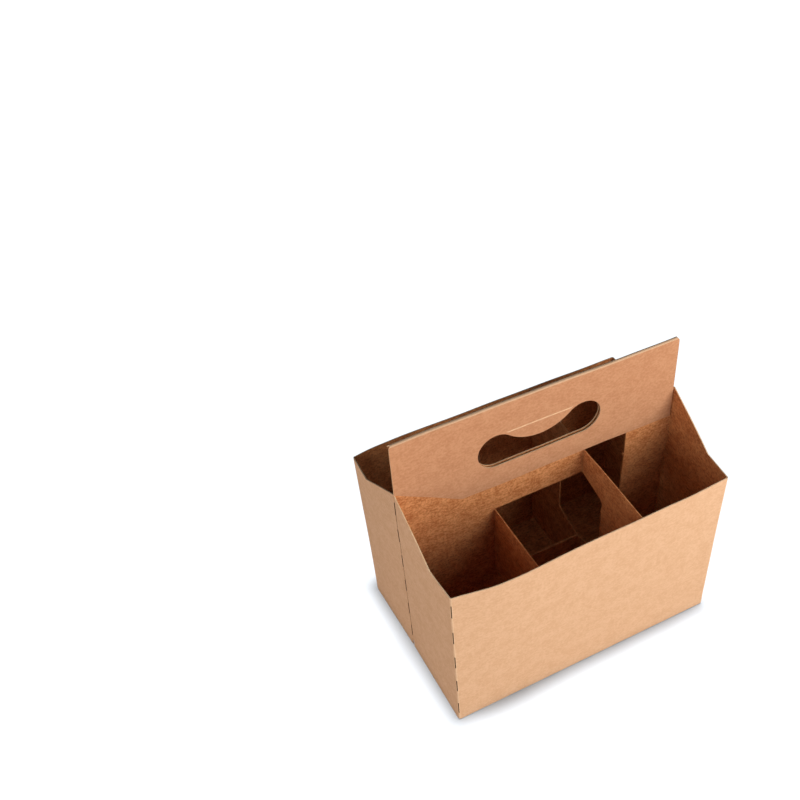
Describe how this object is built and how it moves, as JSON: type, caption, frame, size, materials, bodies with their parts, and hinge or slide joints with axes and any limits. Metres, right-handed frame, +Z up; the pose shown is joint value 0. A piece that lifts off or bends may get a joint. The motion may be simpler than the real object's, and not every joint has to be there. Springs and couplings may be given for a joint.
{
  "type": "cardboard bottle carrier",
  "caption": "Open-topped folded kraft board carrier that holds bottles upright in divided cells on both sides of a central handle with a finger hole.",
  "frame": {"origin": "middle of the underside of the bottom panel", "axes": "+X along the carrier towards the end beside the high dividers, +Y to the back panel, +Z up"},
  "size_m": [0.2, 0.1334, 0.202],
  "materials": {
    "kraft_board": "matte"
  },
  "bodies": {
    "root": {"carrier": "kraft_board"}
  },
  "joints": []
}
